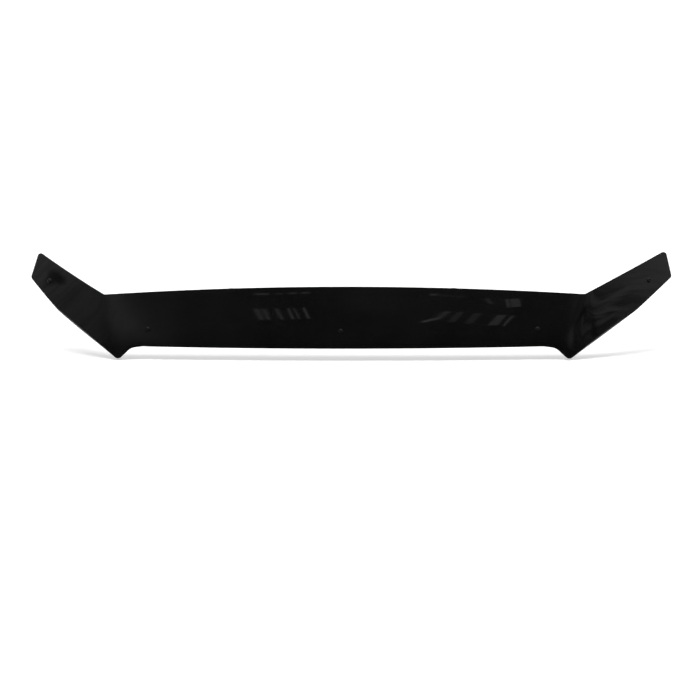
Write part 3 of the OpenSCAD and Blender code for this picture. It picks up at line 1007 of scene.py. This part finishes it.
def light_row(name, up, climb, tall, lean, lights):
    """Upright strips of one height and lean; each is its place across, its width and its level."""
    turn = (math.pi / 2, math.radians(lean), 0)
    for number, (across, width, level) in enumerate(lights):
        place = (across, CARD_Y, up + climb * across)
        mirrored_card("%s_%d" % (name, number), (width, tall), place, turn, level)


def soft_card(name, size, turn_deg, rise_deg, along, level):
    """A soft card at a turn and rise from the sheet, facing it, with its width along a direction."""
    turn, rise = math.radians(turn_deg), math.radians(rise_deg)
    ahead = -Vector((math.sin(turn) * math.cos(rise), -math.cos(turn) * math.cos(rise), math.sin(rise)))
    across = (Vector(along) - Vector(along).project(ahead)).normalized()
    facing_sheet = Matrix((across, ahead.cross(across), ahead)).transposed().to_euler()
    mirrored_card(name, size, -ahead * SOFT_AWAY, facing_sheet, level, soft=True)


# Up at the middle, climb to the right, height in metres, lean in degrees, then the strips
light_row("left_bar", 3.92, 0.15, 0.70, -9, [
    (-2.16, 0.045, 0.50), (-2.07, 0.040, 0.46), (-1.92, 0.035, 0.42), (-1.79, 0.035, 0.46),
    (-1.72, 0.020, 0.42), (-1.62, 0.030, 0.46)])
light_row("left_dash", 5.29, 0.17, 0.10, -5, [
    (-2.22, 0.170, 0.44), (-2.03, 0.090, 0.26), (-1.88, 0.090, 0.38), (-1.74, 0.080, 0.46)])
light_row("right_bar", 3.37, -0.60, 0.60, 7, [
    (0.00, 0.08, 0.21), (0.19, 0.09, 0.21), (0.45, 0.11, 0.36), (0.58, 0.035, 0.46)])
light_row("right_high_bar", 4.12, 0.0, 0.53, -5, [(0.52, 0.04, 0.44), (0.61, 0.11, 0.40)])
light_row("right_dash", 4.81, 0.0, 0.11, -3, [(-0.31, 0.100, 0.44)])
light_row("right_patch", 4.28, 0.0, 0.37, -12, [(0.30, 0.050, 0.28)])
light_row("right_faint", 4.67, 0.0, 0.32, 117, [(-0.10, 0.05, 0.22)])
light_row("hook_foot", 3.20, 0.0, 0.28, 38, [(-0.26, 0.060, 0.72)])
light_row("hook_stem", 3.50, 0.0, 0.44, 10, [(-0.14, 0.060, 0.42)])
mirrored_card("black_flag", (3.0, 6.0), (0, -2.98, floor_z + 0.0005), (0, 0, 0), 0.05)
slanting = (0.08, -0.95, -0.43)
soft_card("soft_opening", (1.5, 0.62), -74.5, 28.1, slanting, 0.07)
soft_card("soft_corner", (0.7, 0.9), -75.2, 30.0, slanting, 0.09)
soft_card("soft_gleam", (0.97, 2.37), -6.4, 30.0, (1, 0, 0), 0.09)
soft_card("soft_high", (6.0, 4.0), -25.0, 72.0, (1, 0, 0), 5.5)
soft_card("soft_oval", (1.0, 1.6), 13.5, 13.0, (1, 0, 0), 0.20)
soft_card("soft_dark", (3.6, 0.5), 26.0, 18.0, (0.90, 0.44, 0.12), 0.02)
cards = [piece.name for piece in bpy.data.objects if piece.name.startswith(("left_", "right_", "hook_", "soft_"))]
print("cards:", len(cards))

# %% [markdown]
# ## The camera
#
# The photograph was taken from far away with a long lens: eight degrees to the right of straight
# ahead and eight degrees up, with the camera turned a little. The frame is 1.644 m wide at the
# sheet, which at 15 m and on a 36 mm sensor is a lens of about 326 mm.

# %% Camera
DISTANCE, FRAME_W, SENSOR = 14.9, 1.644, 36.0
AZIMUTH, ELEVATION, ROLL = math.radians(8.1), math.radians(8.3), math.radians(1.16)
AIM_RIGHT, AIM_DOWN = 0.0218, 0.0436

back_way = Vector((math.sin(AZIMUTH) * math.cos(ELEVATION),
                   -math.cos(AZIMUTH) * math.cos(ELEVATION),
                   math.sin(ELEVATION)))
level_right = Vector((math.cos(AZIMUTH), math.sin(AZIMUTH), 0))
level_up = back_way.cross(level_right)
right_way = level_right * math.cos(ROLL) - level_up * math.sin(ROLL)
up_way = level_right * math.sin(ROLL) + level_up * math.cos(ROLL)
face_centre = Vector(-hood_seat * MM)
stand = face_centre + back_way * DISTANCE + right_way * AIM_RIGHT - up_way * AIM_DOWN
bpy.ops.object.camera_add()
camera = bpy.context.object
camera.data.sensor_width = SENSOR
camera.data.lens = SENSOR * DISTANCE / FRAME_W
camera.data.clip_end = 200.0
camera.matrix_world = Matrix.Translation(stand) @ Matrix((right_way, up_way, back_way)).transposed().to_4x4()
bpy.context.scene.camera = camera
bpy.context.scene.view_settings.view_transform = "Standard"
print("lens", round(camera.data.lens, 1), "mm from", [round(v, 3) for v in stand])

# %% [markdown]
# ## Leave nothing selected

# %% Leave nothing selected
bpy.ops.object.select_all(action="DESELECT")
